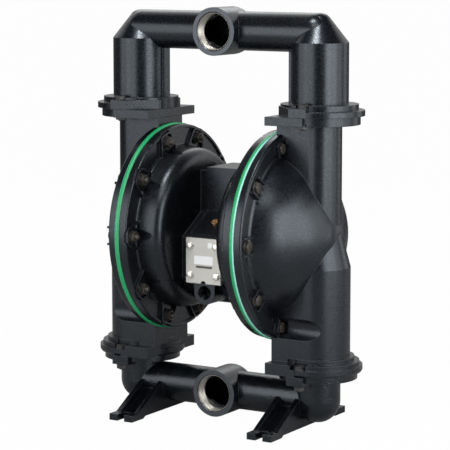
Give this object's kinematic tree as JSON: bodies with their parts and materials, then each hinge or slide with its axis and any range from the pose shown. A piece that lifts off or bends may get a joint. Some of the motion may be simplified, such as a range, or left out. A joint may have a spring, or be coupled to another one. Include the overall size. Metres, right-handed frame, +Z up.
{
  "type": "air operated diaphragm pump",
  "caption": "Metal double diaphragm pump with a front outlet port above, a front inlet port below, domed fluid caps, a middle air motor and slotted feet.",
  "frame": {"origin": "on the floor, below the middle of the pump", "axes": "+X along the diaphragm axis, -Y towards the ports, +Z up"},
  "size_m": [0.4808, 0.3408, 0.6735],
  "materials": {
    "casting_black": "satin paint on cast metal",
    "casting_gloss_black": "gloss paint on coarse cast metal",
    "diaphragm_green": "smooth rubber",
    "gasket": "matte",
    "seal_rubber": "matte",
    "ball_rubber": "smooth rubber",
    "seat_plastic": "matte",
    "fastener_zinc": "dark plated steel",
    "rod_steel": "ground",
    "cover_aluminium": "bead blasted",
    "screw_bright": "bright",
    "bushing_plastic": "matte",
    "brass": "bright",
    "muffler_plastic": "matte"
  },
  "bodies": {
    "housing": {"outlet_manifold": "casting_black", "inlet_manifold": "casting_gloss_black", "fluid_cap_left": "casting_black", "fluid_cap_right": "casting_black", "air_cap_left": "casting_black", "air_cap_right": "casting_black", "air_cap_gasket_left": "gasket", "air_cap_gasket_right": "gasket", "air_cap_screws_left": "fastener_zinc", "air_cap_screws_right": "fastener_zinc", "diaphragm_left": "diaphragm_green", "diaphragm_right": "diaphragm_green", "rod_bushing_left": "bushing_plastic", "rod_bushing_right": "bushing_plastic", "rod_seal_left": "seal_rubber", "rod_seal_right": "seal_rubber", "rim_bolts_left": "fastener_zinc", "rim_bolts_right": "fastener_zinc", "rim_nuts_left": "fastener_zinc", "rim_nuts_right": "fastener_zinc", "outlet_seat_left": "seat_plastic", "outlet_seat_right": "seat_plastic", "outlet_seat_seal_left": "seal_rubber", "outlet_seat_seal_right": "seal_rubber", "inlet_seat_left": "seat_plastic", "inlet_seat_right": "seat_plastic", "inlet_seat_seal_left": "seal_rubber", "inlet_seat_seal_right": "seal_rubber", "centre_body": "casting_black", "valve_cover_plate": "cover_aluminium", "valve_cover_gasket": "gasket", "valve_cover_screws": "screw_bright", "valve_sleeve": "cover_aluminium", "pilot_bushings": "bushing_plastic", "ground_screw": "brass", "muffler": "muffler_plastic", "outlet_joint_bolts": "fastener_zinc", "outlet_joint_nuts": "fastener_zinc", "inlet_joint_bolts": "fastener_zinc", "inlet_joint_nuts": "fastener_zinc"},
    "rod_assembly": {"diaphragm_rod": "rod_steel", "fluid_washer_left": "casting_black", "fluid_washer_right": "casting_black", "air_washer_left": "casting_black", "air_washer_right": "casting_black", "diaphragm_screw_left": "rod_steel", "diaphragm_screw_right": "rod_steel"},
    "outlet_ball_left": {"outlet_ball_left": "ball_rubber"},
    "outlet_ball_right": {"outlet_ball_right": "ball_rubber"},
    "inlet_ball_left": {"inlet_ball_left": "ball_rubber"},
    "inlet_ball_right": {"inlet_ball_right": "ball_rubber"},
    "valve_spool": {"valve_spool": "cover_aluminium", "spool_seals": "seal_rubber"},
    "pilot_rod": {"pilot_rod": "rod_steel"}
  },
  "joints": [
    {"name": "rod_stroke", "type": "slide", "parent": "housing", "child": "rod_assembly", "axis": [1, 0, 0], "range_m": [-0.022, 0.022], "deforming": ["diaphragm_left", "diaphragm_right"]},
    {"name": "outlet_ball_lift_left", "type": "slide", "parent": "housing", "child": "outlet_ball_left", "axis": [0, 0, 1], "range_m": [0, 0.009]},
    {"name": "outlet_ball_lift_right", "type": "slide", "parent": "housing", "child": "outlet_ball_right", "axis": [0, 0, 1], "range_m": [0, 0.009]},
    {"name": "inlet_ball_lift_left", "type": "slide", "parent": "housing", "child": "inlet_ball_left", "axis": [0, 0, 1], "range_m": [0, 0.009]},
    {"name": "inlet_ball_lift_right", "type": "slide", "parent": "housing", "child": "inlet_ball_right", "axis": [0, 0, 1], "range_m": [0, 0.009]},
    {"name": "spool_shift", "type": "slide", "parent": "housing", "child": "valve_spool", "axis": [0, 1, 0], "range_m": [0, 0.014]},
    {"name": "pilot_shift", "type": "slide", "parent": "housing", "child": "pilot_rod", "axis": [1, 0, 0], "range_m": [-0.007, 0.007]}
  ]
}
